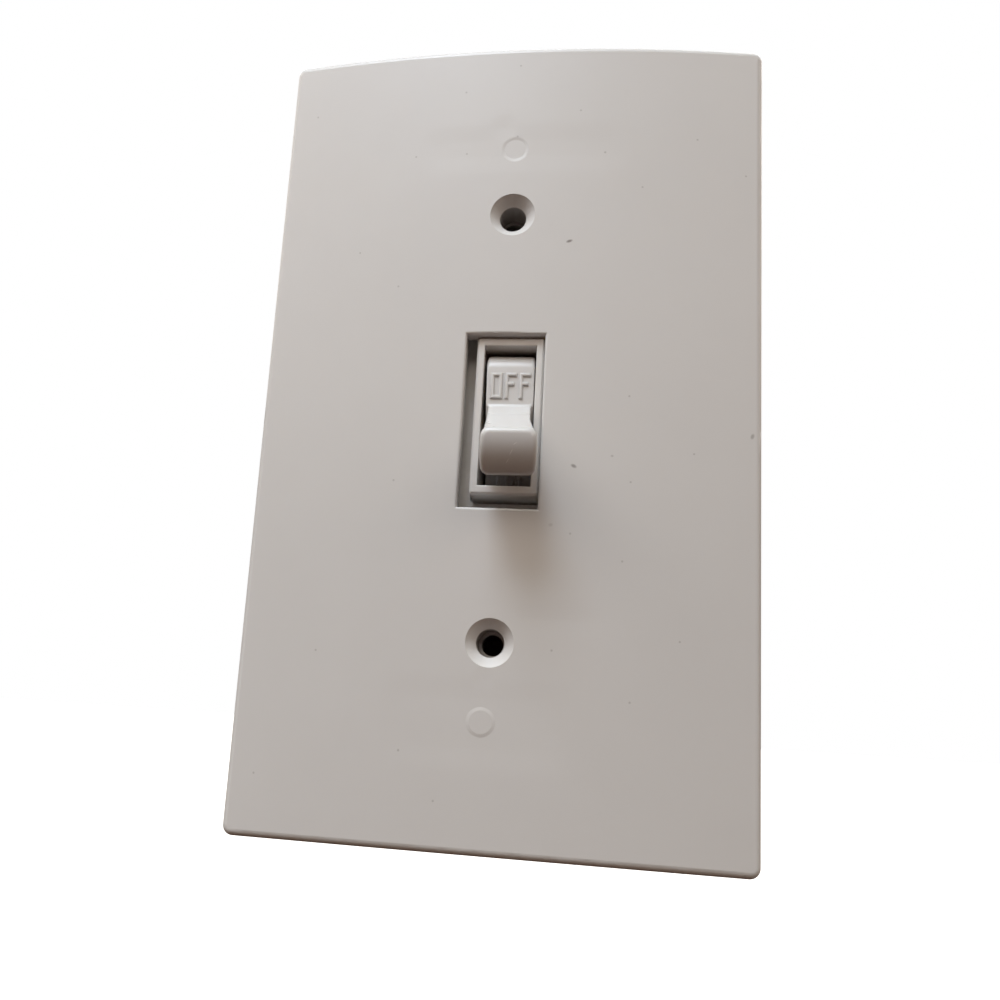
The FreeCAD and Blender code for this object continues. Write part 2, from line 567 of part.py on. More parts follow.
def wire_clip(side):
    """A strip bent to a hook: one side lies on the terminal's leg, the other springs onto the wire."""
    face_x = CAVITY_RIGHT - LEG_T
    z = side * (TERMINAL_Z + LEG_HALF_Z - CLIP_W / 2 - 0.05)
    front_y, back_y = LEG_FRONT_Y + 1.2, FOOT_Y - 0.5
    grip_x, bend_x = WIRE_X - 0.7, WIRE_X - 2.3
    loop = [
        (face_x, front_y - CLIP_T),
        (bend_x - CLIP_T, front_y - CLIP_T),
        (bend_x - CLIP_T, front_y + 2.3),
        (grip_x - CLIP_T, back_y - 0.8),
        (grip_x, back_y - 0.8),
        (bend_x, front_y + 2.2),
        (bend_x, front_y),
        (face_x - CLIP_T, front_y),
        (face_x - CLIP_T, back_y),
        (face_x, back_y),
    ]
    points = [V(x, y, z - CLIP_W / 2) for x, y in loop]
    face = Part.Face(Part.makePolygon(points + points[:1]))
    return body_place(face.extrude(V(0, 0, CLIP_W)))


# ---- screws and rivets --------------------------------------------------------------------------
def side_screw(seat_x, y, z, head_r, head_t, shank, washer):
    """Slotted screw whose head stands off +X from seat_x and whose shank goes in along -X."""
    head = along_x(head_r, y, z, seat_x, seat_x + head_t)

    def outer_rim(edge):
        return edge.BoundBox.XMin > seat_x + head_t - 0.01

    head = head.makeFillet(0.6, edges_where(head, outer_rim))
    if washer:
        head = head.fuse(along_x(head_r + 0.7, y, z, seat_x, seat_x + 0.7))
    screw = head.fuse(along_x(STUD_R, y, z, seat_x - shank, seat_x))
    slot = box(seat_x + head_t - 1.0, seat_x + head_t + 1, y - 0.55, y + 0.55, z - 6, z + 6)
    return clean(screw.cut(slot))


def terminal_screw(side):
    screw = side_screw(CAVITY_RIGHT, TERMINAL_Y, side * TERMINAL_Z, TERMINAL_HEAD_R,
                       TERMINAL_HEAD_T, TERMINAL_SHANK, False)
    return body_place(screw)


def ground_screw():
    screw = side_screw(-TAB_X, GROUND_SCREW_Y, TAB_Z, 3.4, 3.0, 6.0, True)
    return screw.mirror(V(0, 0, 0), X)


def box_screws():
    screws = []
    for sign in (-1, 1):
        z = sign * BOX_SCREW_Z
        head = along_y(BOX_SCREW_HEAD_R, 0, z, -STRAP_T - BOX_SCREW_HEAD_T, -STRAP_T)

        def front_rim(edge):
            return edge.BoundBox.YMax < -STRAP_T - BOX_SCREW_HEAD_T + 0.01

        head = head.makeFillet(0.9, edges_where(head, front_rim))
        front = -STRAP_T - BOX_SCREW_HEAD_T
        head = head.cut(box(-6, 6, front - 1, front + 0.9, z - 0.5, z + 0.5))
        neck = along_y(BOX_SCREW_NECK_R, 0, z, -STRAP_T, NECK_END)
        thread = along_y(BOX_SCREW_R, 0, z, NECK_END, BOX_SCREW_END - 0.8)
        point = Part.makeCone(BOX_SCREW_R, 1.0, 0.8, V(0, BOX_SCREW_END - 0.8, z), Y)
        screws.append(clean(head.multiFuse([neck, thread, point])))
    return Part.makeCompound(screws)


def screw_retainers():
    washers = []
    for sign in (-1, 1):
        z = sign * BOX_SCREW_Z
        washer = rounded_block(8.4, 7.0, 1.0, 0.1, 0.9, 0, z)
        washers.append(washer.cut(along_y(BOX_SCREW_NECK_R + 0.02, 0, z, -1, 2)))
    return Part.makeCompound(washers)


def body_rivets():
    rivets = []
    for x, z in rivet_places():
        shank = along_y(RIVET_R, x, z, -STRAP_T - 0.2, BASE_BACK + 0.2)
        front = along_y(RIVET_HEAD_R, x, z, -STRAP_T - 0.6, -STRAP_T)
        back = along_y(RIVET_HEAD_R, x, z, BASE_BACK, BASE_BACK + 0.5)
        rivet = shank.multiFuse([front, back])
        rivets.append(clean(rivet.cut(along_y(0.6, x, z, BASE_BACK - 3, BASE_BACK + 1))))
    return Part.makeCompound(rivets)


def main():
    os.makedirs("parts", exist_ok=True)
    arm, arm_back_y = contact_arm()
    moving = contact_button(arm_back_y + CONTACT_T, arm_back_y, -CONTACT_Z)
    fixed = contact_button(FIXED_FACE_Y, FOOT_Y, -CONTACT_Z)
    save("wall_plate", wall_plate())
    save("mounting_strap", mounting_strap())
    save("switch_cover", switch_cover())
    save("housing_base", housing_base())
    save("toggle_lever", toggle_lever())
    save("toggle_spring", toggle_spring())
    save("spring_plunger", spring_plunger())
    save("contact_arm", arm)
    save("moving_contact", arm_place(moving))
    save("arm_pin", arm_pin())
    save("line_terminal", line_terminal())
    save("load_terminal", load_terminal())
    save("fixed_contact", body_place(fixed))
    save("line_screw", terminal_screw(1))
    save("load_screw", terminal_screw(-1))
    save("ground_screw", ground_screw())
    save("line_wire_clip", wire_clip(1))
    save("load_wire_clip", wire_clip(-1))
    save("box_screws", box_screws())
    save("screw_retainers", screw_retainers())
    save("body_rivets", body_rivets())


main()
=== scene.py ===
import json
import math

import bmesh
import bpy
from mathutils import Matrix, Vector


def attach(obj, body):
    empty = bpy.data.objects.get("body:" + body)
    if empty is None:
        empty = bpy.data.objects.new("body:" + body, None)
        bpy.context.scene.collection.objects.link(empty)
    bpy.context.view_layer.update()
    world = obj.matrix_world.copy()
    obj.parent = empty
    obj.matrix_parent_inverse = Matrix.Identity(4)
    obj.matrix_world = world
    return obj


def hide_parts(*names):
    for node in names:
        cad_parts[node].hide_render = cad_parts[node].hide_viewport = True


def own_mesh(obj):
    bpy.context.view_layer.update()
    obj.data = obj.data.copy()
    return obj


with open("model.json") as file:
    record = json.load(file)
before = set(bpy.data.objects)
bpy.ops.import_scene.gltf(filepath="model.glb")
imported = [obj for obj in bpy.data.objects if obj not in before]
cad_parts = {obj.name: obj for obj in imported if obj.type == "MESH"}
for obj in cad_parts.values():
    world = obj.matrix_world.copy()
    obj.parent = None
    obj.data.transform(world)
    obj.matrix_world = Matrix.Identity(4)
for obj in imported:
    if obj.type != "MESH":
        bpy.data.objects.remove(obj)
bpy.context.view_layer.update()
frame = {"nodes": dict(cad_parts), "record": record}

MM = 0.001


# ---- meshes --------------------------------------------------------------------------------------
def finish_mesh(name, verts, faces, material, body, sharp_deg=35.0):
    """Makes a piece from points in millimetres; it rides on a CAD body."""
    mesh = bpy.data.meshes.new(name)
    mesh.from_pydata([Vector(v) * MM for v in verts], [], faces)
    bm = bmesh.new()
    bm.from_mesh(mesh)
    bmesh.ops.remove_doubles(bm, verts=bm.verts, dist=0.001 * MM)
    bmesh.ops.recalc_face_normals(bm, faces=bm.faces)
    bm.to_mesh(mesh)
    bm.free()
    mesh.shade_smooth()
    mesh.set_sharp_from_angle(angle=math.radians(sharp_deg))
    piece = bpy.data.objects.new(name, mesh)
    bpy.context.scene.collection.objects.link(piece)
    mesh.materials.append(material)
    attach(piece, body)
    return piece


class Shell:
    """Points and faces of one piece, gathered loop by loop."""

    def __init__(self):
        self.verts = []
        self.faces = []

    def loop(self, points):
        start = len(self.verts)
        self.verts.extend(tuple(p) for p in points)
        return list(range(start, len(self.verts)))

    def bridge(self, a, b):
        n = len(a)
        for i in range(n):
            j = (i + 1) % n
            self.faces.append((a[i], a[j], b[j], b[i]))

    def loft(self, loops):
        rings = [self.loop(points) for points in loops]
        for a, b in zip(rings, rings[1:]):
            self.bridge(a, b)
        return rings

    def cap(self, ring):
        self.faces.append(tuple(ring))

    def fan(self, ring, point):
        centre = self.loop([point])[0]
        n = len(ring)
        for i in range(n):
            self.faces.append((ring[i], ring[(i + 1) % n], centre))


def rounded_section(half_w, half_h, r, corner=8, side=6, barrel=0.0):
    """Closed loop round a rectangle with round corners; barrel draws its four corners in sideways."""
    pts = []
    a, b = half_w - r, half_h - r
    for cx, cz, start in ((a, b, 0), (-a, b, 90), (-a, -b, 180), (a, -b, 270)):
        for i in range(corner + 1):
            t = math.radians(start + 90 * i / corner)
            pts.append((cx + r * math.cos(t), cz + r * math.sin(t)))
        end = pts[-1]
        nxt = {0: (-a, half_h), 90: (-half_w, -b), 180: (a, -half_h), 270: (half_w, b)}[start]
        for i in range(1, side):
            s = i / side
            pts.append((end[0] + (nxt[0] - end[0]) * s, end[1] + (nxt[1] - end[1]) * s))
    return [(x * (1 - barrel * (z / half_h) ** 2), z) for x, z in pts]


# ---- materials -----------------------------------------------------------------------------------
class Nodes:
    """A material's node tree with a Principled surface."""

    def __init__(self, name):
        self.material = bpy.data.materials.new(name)
        self.material.use_nodes = True
        self.tree = self.material.node_tree
        self.bsdf = self.tree.nodes["Principled BSDF"]
        self.coords = self.add("ShaderNodeTexCoord").outputs["Object"]

    def add(self, kind, **values):
        node = self.tree.nodes.new(kind)
        for key, value in values.items():
            if key in node.inputs:
                node.inputs[key].default_value = value
            else:
                setattr(node, key, value)
        return node

    def link(self, source, target):
        self.tree.links.new(source, target)

    def noise(self, scale, detail=3.0, rough=0.5, stretch=None):
        node = self.add("ShaderNodeTexNoise", Scale=scale, Detail=detail, Roughness=rough)
        source = self.coords
        if stretch:
            mapping = self.add("ShaderNodeMapping")
            mapping.inputs["Scale"].default_value = stretch
            self.link(source, mapping.inputs["Vector"])
            source = mapping.outputs["Vector"]
        self.link(source, node.inputs["Vector"])
        return node.outputs["Fac"]

    def ramp(self, source, low, high, out_low, out_high):
        node = self.add("ShaderNodeMapRange")
        node.inputs["From Min"].default_value = low
        node.inputs["From Max"].default_value = high
        node.inputs["To Min"].default_value = out_low
        node.inputs["To Max"].default_value = out_high
        self.link(source, node.inputs["Value"])
        return node.outputs["Result"]

    def math(self, operation, a, b):
        node = self.add("ShaderNodeMath", operation=operation)
        for value, socket in ((a, node.inputs[0]), (b, node.inputs[1])):
            if isinstance(value, (int, float)):
                socket.default_value = value
            else:
                self.link(value, socket)
        return node.outputs["Value"]

    def mix(self, factor, a, b):
        node = self.add("ShaderNodeMix", data_type="RGBA")
        if isinstance(factor, (int, float)):
            node.inputs["Factor"].default_value = factor
        else:
            self.link(factor, node.inputs["Factor"])
        for value, socket in ((a, node.inputs["A"]), (b, node.inputs["B"])):
            if isinstance(value, tuple):
                socket.default_value = value
            else:
                self.link(value, socket)
        return node.outputs["Result"]

    def specks(self, scale, size, keep):
        """Few small dots over the front, one at most in each cell: 1 on a dot and 0 elsewhere."""
        front = self.add("ShaderNodeMapping")
        front.inputs["Rotation"].default_value = (math.radians(-90), 0.0, 0.0)
        self.link(self.coords, front.inputs["Vector"])
        cells = self.add("ShaderNodeTexVoronoi", voronoi_dimensions="2D", Scale=scale)
        self.link(front.outputs["Vector"], cells.inputs["Vector"])
        dot = self.ramp(cells.outputs["Distance"], size, size * 0.6, 0.0, 1.0)
        pick = self.add("ShaderNodeSeparateColor")
        self.link(cells.outputs["Color"], pick.inputs["Color"])
        kept = self.math("LESS_THAN", pick.outputs["Red"], keep)
        return self.math("MULTIPLY", dot, kept)

    def front_distance(self, x, z):
        """Distance in millimetres from a place on the front, seen along Y."""
        flat = self.add("ShaderNodeVectorMath", operation="MULTIPLY")
        self.link(self.coords, flat.inputs[0])
        flat.inputs[1].default_value = (1.0 / MM, 0.0, 1.0 / MM)
        gap = self.add("ShaderNodeVectorMath", operation="DISTANCE")
        self.link(flat.outputs["Vector"], gap.inputs[0])
        gap.inputs[1].default_value = (x, 0.0, z)
        return gap.outputs["Value"]

    def spot(self, x, z, r, soft):
        """1 inside a round spot on the front and 0 outside, with a soft edge."""
        return self.ramp(self.front_distance(x, z), r - soft, r + soft, 1.0, 0.0)

    def streak(self, x, z, turn, length, width):
        """1 in the middle of a long thin patch on the front, 0 from its edge on; turn is from +X to +Z."""
        place = self.add("ShaderNodeMapping", vector_type="TEXTURE")
        place.inputs["Location"].default_value = (x * MM, 0.0, z * MM)
        place.inputs["Rotation"].default_value = (0.0, -math.radians(turn), 0.0)
        place.inputs["Scale"].default_value = (length * MM, 1.0, width * MM)
        self.link(self.coords, place.inputs["Vector"])
        flat = self.add("ShaderNodeVectorMath", operation="MULTIPLY")
        self.link(place.outputs["Vector"], flat.inputs[0])
        flat.inputs[1].default_value = (1.0, 0.0, 1.0)
        gap = self.add("ShaderNodeVectorMath", operation="LENGTH")
        self.link(flat.outputs["Vector"], gap.inputs[0])
        return self.ramp(gap.outputs["Value"], 0.4, 1.0, 1.0, 0.0)

    def front_axis(self, axis):
        """One of the coordinates in millimetres."""
        split = self.add("ShaderNodeSeparateXYZ")
        self.link(self.coords, split.inputs["Vector"])
        return self.math("MULTIPLY", split.outputs[axis], 1.0 / MM)

    def patch(self, x0, x1, z0, z1, soft):
        """1 inside a rectangle on the front and 0 outside, with soft edges."""
        out = None
        for axis, low, high in (("X", x0, x1), ("Z", z0, z1)):
            place = self.front_axis(axis)
            rise = self.ramp(place, low - soft, low + soft, 0.0, 1.0)
            fall = self.ramp(place, high - soft, high + soft, 1.0, 0.0)
            inside = self.math("MULTIPLY", rise, fall)
            out = inside if out is None else self.math("MULTIPLY", out, inside)
        return out

    def total(self, sources):
        """Sum of pairs of a source and its weight."""
        out = None
        for source, weight in sources:
            term = self.math("MULTIPLY", source, weight)
            out = term if out is None else self.math("ADD", out, term)
        return out

    def bump(self, height, strength, distance, edge=0.0):
        node = self.add("ShaderNodeBump", Strength=strength, Distance=distance)
        self.link(height, node.inputs["Height"])
        if edge:
            bevel = self.add("ShaderNodeBevel", samples=6)
            bevel.inputs["Radius"].default_value = edge
            self.link(bevel.outputs["Normal"], node.inputs["Normal"])
        self.link(node.outputs["Normal"], self.bsdf.inputs["Normal"])


def rgba(r, g, b):
    return (r, g, b, 1.0)


PLASTIC_IOR = 1.49
SCATTER_RADIUS = (0.0012, 0.0010, 0.0008)
MILKY = 0.2                             # subsurface weight of the thin mouldings that show at the front


def plastic_surface(n, gloss_scale, rough_low, rough_high, milky=0.06):
    """Uneven gloss, and a little light scattered under the skin."""
    gloss = n.ramp(n.noise(gloss_scale, 5.0, 0.65), 0.3, 0.7, rough_low, rough_high)
    n.link(gloss, n.bsdf.inputs["Roughness"])
    n.bsdf.inputs["IOR"].default_value = PLASTIC_IOR
    n.bsdf.inputs["Subsurface Weight"].default_value = milky
    n.bsdf.inputs["Subsurface Radius"].default_value = SCATTER_RADIUS
    n.bsdf.inputs["Subsurface Scale"].default_value = 1.0


def plastic(name, light, dark, rough, grain=2600.0, grain_depth=0.000004, edge=0.0, milky=0.06, scuffs=()):
    """Moulded plastic: faint clouding, a fine skin, and pale scuffs where they are given."""
    n = Nodes(name)
    cloud = n.ramp(n.noise(38.0, 4.0, 0.6), 0.35, 0.65, 0.0, 1.0)
    colour = n.mix(cloud, rgba(*light), rgba(*dark))
    if scuffs:
        rubbed = n.total([(n.streak(*scuff), 0.5) for scuff in scuffs])
        colour = n.mix(rubbed, colour, rgba(0.95, 0.93, 0.91))
    n.link(colour, n.bsdf.inputs["Base Color"])
    plastic_surface(n, 210.0, rough - 0.04, rough + 0.06, milky)
    n.bump(n.noise(grain, 2.0), 0.35, grain_depth, edge)
    return n.material


def metal(name, light, dark, rough, stretch=(1.0, 1.0, 1.0), grain=900.0, edge=0.0001, depth=0.00001):
    """Stamped or drawn metal: drawn grain, dull patches and rubbed edges."""
    n = Nodes(name)
    patch = n.ramp(n.noise(160.0, 5.0, 0.6), 0.38, 0.62, 0.0, 1.0)
    n.link(n.mix(patch, rgba(*light), rgba(*dark)), n.bsdf.inputs["Base Color"])
    lines = n.noise(grain, 3.0, 0.6, stretch)
    n.link(n.ramp(lines, 0.3, 0.7, rough - 0.07, rough + 0.12), n.bsdf.inputs["Roughness"])
    n.bsdf.inputs["Metallic"].default_value = 1.0
    n.bump(lines, 0.4, depth, edge)
    return n.material


# marks on the front of the plate in millimetres: x, z, turn in degrees, half length, half width, how dark
PLATE_SPECKS = ((8.1, 26.1, 20.0, 0.55, 0.26, 0.75), (9.9, -6.2, -25.0, 0.5, 0.3, 0.6),
                (7.2, -14.3, 10.0, 0.4, 0.3, 0.18), (33.3, -0.8, 70.0, 0.5, 0.3, 0.45),
                (12.6, 39.8, 0.0, 0.2, 0.2, 0.35), (-11.0, -44.5, 0.0, 0.2, 0.2, 0.35),
                (14.9, -4.6, 0.0, 0.25, 0.2, 0.3))
# colour of the specks, and of the shade painted into the two screw holes
SPECK_AND_BORE_SHADE_COLOUR = (0.12, 0.10, 0.085)
# fine specks: cells per metre, radius and share of the cells that have one, and how dark
FINE_SPECKS, FINE_SPECK_DARK = (125.0, 0.022, 0.28), 0.28
# painted shade on the walls of the two screw holes: radius, places and how dark
PLATE_BORE, PLATE_BORES_Z, PLATE_BORE_SHADE_DARK = 1.88, (30.15, -30.15), 0.55
# moulding marks: discs (x, z, radius, height), sinks (x from, x to, z from, z to, depth) and
# dimples (x, z, radius, depth), and how soft the edges of the discs and the sinks are
PLATE_WITNESSES, WITNESS_SOFT = ((-0.1, 40.3, 1.7, -0.045), (-0.6, -40.3, 1.7, 0.06)), 0.22
PLATE_SINKS = ((-12.5, 14.6, 38.0, 43.0, 0.04), (-12.5, 9.5, -45.0, -36.0, 0.04),
               (3.8, 14.0, -28.0, -25.5, 0.03))
SINK_SOFT = 1.3
PLATE_DIMPLES = ((-1.8, 43.8, 2.2, 0.05), (-0.5, -34.8, 1.6, 0.035))
# the plate's skin and its slow waviness: noise scale, detail and roughness, and height
PLATE_SKIN, PLATE_WAVES = ((2600.0, 2.0), 0.0015), ((55.0, 3.0, 0.5), 0.02)


def plate_material():
    """The cover plate's plastic, with its moulding marks, its specks and painted shade in its screw holes.
    """
    n = Nodes("plate_plastic")
    cloud = n.ramp(n.noise(30.0, 4.0, 0.6), 0.35, 0.65, 0.0, 1.0)
    colour = n.mix(cloud, rgba(0.637, 0.628, 0.614), rgba(0.621, 0.611, 0.597))
    specks = [(n.streak(*speck[:5]), speck[5]) for speck in PLATE_SPECKS]
    specks.append((n.specks(*FINE_SPECKS), FINE_SPECK_DARK))
    # painted shade: the walls of the two screw holes are darkened in the same mask and colour as the specks
    specks += [(n.spot(0.0, z, PLATE_BORE, 0.03), PLATE_BORE_SHADE_DARK) for z in PLATE_BORES_Z]
    specks_and_painted_shade = n.math("MINIMUM", n.total(specks), 1.0)
    n.link(n.mix(specks_and_painted_shade, colour, rgba(*SPECK_AND_BORE_SHADE_COLOUR)), n.bsdf.inputs["Base Color"])
    plastic_surface(n, 150.0, 0.38, 0.48)
    heights = [(n.noise(*settings), height) for settings, height in (PLATE_SKIN, PLATE_WAVES)]
    heights += [(n.spot(x, z, r, WITNESS_SOFT), raised) for x, z, r, raised in PLATE_WITNESSES]
    heights += [(n.patch(*place, SINK_SOFT), -depth) for *place, depth in PLATE_SINKS]
    heights += [(n.spot(x, z, r * 0.5, r * 0.5), -depth) for x, z, r, depth in PLATE_DIMPLES]
    n.bump(n.total(heights), 1.0, MM)
    return n.material


# scuffs on the toggle's end: x, z, turn in degrees, half length and half width
TOGGLE_SCUFFS = ((2.65, -6.35, 35.0, 0.35, 0.07), (2.2, -7.35, 62.0, 0.5, 0.07),
                 (1.75, -8.35, 55.0, 0.4, 0.06))

plate_plastic = plate_material()
toggle_plastic = plastic("toggle_plastic", (0.580, 0.574, 0.565), (0.566, 0.558, 0.548), 0.30,
                         edge=0.00008, milky=MILKY, scuffs=TOGGLE_SCUFFS)
cover_plastic = plastic("cover_plastic", (0.700, 0.690, 0.672), (0.678, 0.666, 0.648), 0.33,
                        edge=0.0001, milky=MILKY)
base_plastic = plastic("base_plastic", (0.42, 0.40, 0.375), (0.36, 0.345, 0.32), 0.55,
                       1500.0, 0.00001, 0.0002)
nylon = plastic("nylon", (0.74, 0.71, 0.63), (0.70, 0.66, 0.58), 0.42, edge=0.0001)
strap_steel = metal("strap_steel", (0.72, 0.735, 0.74), (0.63, 0.64, 0.64), 0.50, (1.0, 1.0, 0.12))
zinc_steel = metal("zinc_steel", (0.62, 0.63, 0.64), (0.50, 0.505, 0.51), 0.30)
spring_steel = metal("spring_steel", (0.55, 0.55, 0.56), (0.42, 0.42, 0.43), 0.25)
brass = metal("brass", (0.72, 0.50, 0.20), (0.58, 0.38, 0.14), 0.30, (1.0, 1.0, 0.2))
terminal_brass = metal("terminal_brass", (0.78, 0.56, 0.24), (0.66, 0.45, 0.18), 0.26)
silver = metal("silver", (0.80, 0.79, 0.77), (0.66, 0.65, 0.63), 0.34)
green_screw = metal("green_screw", (0.05, 0.30, 0.12), (0.03, 0.20, 0.08), 0.33)
bronze_strip = metal("bronze_strip", (0.60, 0.36, 0.20), (0.48, 0.28, 0.15), 0.32, (1.0, 0.15, 1.0))
fibre = plastic("fibre", (0.20, 0.045, 0.030), (0.14, 0.032, 0.022), 0.70, 1800.0, 0.00002, 0.00005)

SLOT_MATERIALS = {
    "plate_plastic": plate_plastic, "toggle_plastic": toggle_plastic, "cover_plastic": cover_plastic,
    "base_plastic": base_plastic, "nylon": nylon, "strap_steel": strap_steel, "zinc_steel": zinc_steel,
    "spring_steel": spring_steel, "brass": brass, "terminal_brass": terminal_brass, "silver": silver,
    "green_screw": green_screw, "bronze_strip": bronze_strip, "fibre": fibre,
}
for part in frame["record"]["subparts"]:
    for slot in frame["nodes"][part["node"]].material_slots:
        slot.material = SLOT_MATERIALS[part["material_slot"]]


# ---- toggle --------------------------------------------------------------------------------------
PIVOT = Vector((0.68, 1.7, 1.0))
THROW_HALF = math.radians(25.8)
LEAN = math.radians(2.3)
ALONG = Vector((0, -math.cos(THROW_HALF), -math.sin(THROW_HALF)))
UP = Vector((0, -math.sin(THROW_HALF), math.cos(THROW_HALF)))


def toggle_point(u, v, w, lean=LEAN):
    """A point of the toggle at OFF: u out along the handle, v up across it, w to the right."""
    out = u * math.cos(lean) - w * math.sin(lean)
    side = u * math.sin(lean) + w * math.cos(lean)
    return PIVOT + out * ALONG + v * UP + Vector((side, 0, 0))


DRUM_HALF_W, DRUM_BACK_HALF = 3.25, 3.33
FLAT_TURN = math.radians(29.8)          # between the handle and the way that each lettered flat faces
FLAT_LENGTH = 5.46
LOBE_R = 3.0
RIDGE = (5.94, 4.25)                    # corners and middle of the upper outline, as (u, v)
STEP = (8.3, 3.52)
SCOOP = (13.4, 2.62)
TIP = (18.5, 3.15)
TIP_DOME = 0.85
WAIST_HALF, TIP_HALF = 2.9, 3.56
BACK_CORNER, FLAT_CORNER, TIP_CORNER = 0.5, 0.25, 0.95
TIP_SHIFT = 0.35
TIP_BARREL = 0.06
END_RIM = 0.6                           # rounding between the flanks and the end face
# where each change along the toggle starts, and its length
DRUM_CHANGE, CORNER_CHANGE, WAIST_CHANGE = (1.0, 4.5), (1.0, 4.0), (RIDGE[0] - 0.25, 0.45)
TIP_CHANGE, SECTION_CHANGE = (9.3, 7.6), (11.0, 5.5)
TRUNNION_R, TRUNNION_START, TRUNNION_END, TRUNNION_CHAMFER = 1.5, 2.6, 5.3, 0.15
TAIL_START, TAIL_END, TAIL_HALF_W, TAIL_HALF_V, TAIL_CORNER = 3.5, 9.4, 2.6, 2.7, 0.3
BORE_R, BORE_FLOOR = 1.62, 1.4


def ease(u, start, length):
    """0 up to the start and 1 past the length, with a smooth rise between."""
    t = min(max((u - start) / length, 0.0), 1.0)
    return t * t * (3 - 2 * t)


def toggle_half_width(u):
    drum = DRUM_BACK_HALF + (DRUM_HALF_W - DRUM_BACK_HALF) * ease(u, *DRUM_CHANGE)
    waist = (WAIST_HALF - DRUM_HALF_W) * ease(u, *WAIST_CHANGE)
    return drum + waist + (TIP_HALF - WAIST_HALF) * ease(u, *TIP_CHANGE)


def on_flat(distance, along):
    """(u, v) of a point by its distance from the pivot square to the upper flat, and along the flat."""
    c, s = math.cos(FLAT_TURN), math.sin(FLAT_TURN)
    return distance * c - along * s, distance * s + along * c


FLAT_DISTANCE = RIDGE[0] * math.cos(FLAT_TURN) + RIDGE[1] * math.sin(FLAT_TURN)
RIDGE_ALONG = RIDGE[1] * math.cos(FLAT_TURN) - RIDGE[0] * math.sin(FLAT_TURN)
BEAD, BEAD_HALF = 0.07, 0.26


def beaded_corner(corner, before, after):
    """Points over a small bead at a corner of the outline, between the ways before and after it."""
    out = []
    for i in range(-4, 5):
        s = i / 4
        du, dv = before if s < 0 else after
        size = math.hypot(du, dv)
        lift = BEAD * 0.5 * (1 + math.cos(math.pi * s))
        turned_u, turned_v = -(before[1] + after[1]), before[0] + after[0]
        tall = math.hypot(turned_u, turned_v)
        out.append((corner[0] + s * BEAD_HALF * du / size + lift * turned_u / tall,
                    corner[1] + s * BEAD_HALF * dv / size + lift * turned_v / tall))
    return out


def flank_point(q):
    """The scooped flank from the step (q = 0) to the tip (q = 1)."""
    u = STEP[0] + (TIP[0] - STEP[0]) * q
    v = STEP[1] * (1 - q) * (1 - 2 * q) + 4 * SCOOP[1] * q * (1 - q) + TIP[1] * q * (2 * q - 1)
    return u, v


def toggle_profile():
    """Upper outline of the toggle's side view, from the drum's back out to the tip."""
    centre = on_flat(FLAT_DISTANCE - LOBE_R, RIDGE_ALONG + FLAT_LENGTH)
    out = []
    for i in range(19):
        a = math.pi + (FLAT_TURN - math.pi) * i / 18
        out.append((centre[0] + LOBE_R * math.cos(a), centre[1] + LOBE_R * math.sin(a)))
    for i in range(1, 8):
        out.append(on_flat(FLAT_DISTANCE, RIDGE_ALONG + FLAT_LENGTH * (1 - i / 7 * 0.94)))
    down_flat = (math.sin(FLAT_TURN), -math.cos(FLAT_TURN))
    band = (STEP[0] - RIDGE[0], STEP[1] - RIDGE[1])
    first = flank_point(0.04)
    out += beaded_corner(RIDGE, down_flat, band)
    out += [(RIDGE[0] + band[0] * s, RIDGE[1] + band[1] * s) for s in (0.3, 0.5, 0.7)]
    out += beaded_corner(STEP, band, (first[0] - STEP[0], first[1] - STEP[1]))
    last = (TIP[0] - 0.5 - STEP[0]) / (TIP[0] - STEP[0])
    out += [flank_point(0.06 + (last - 0.06) * i / 13) for i in range(14)]
    return out


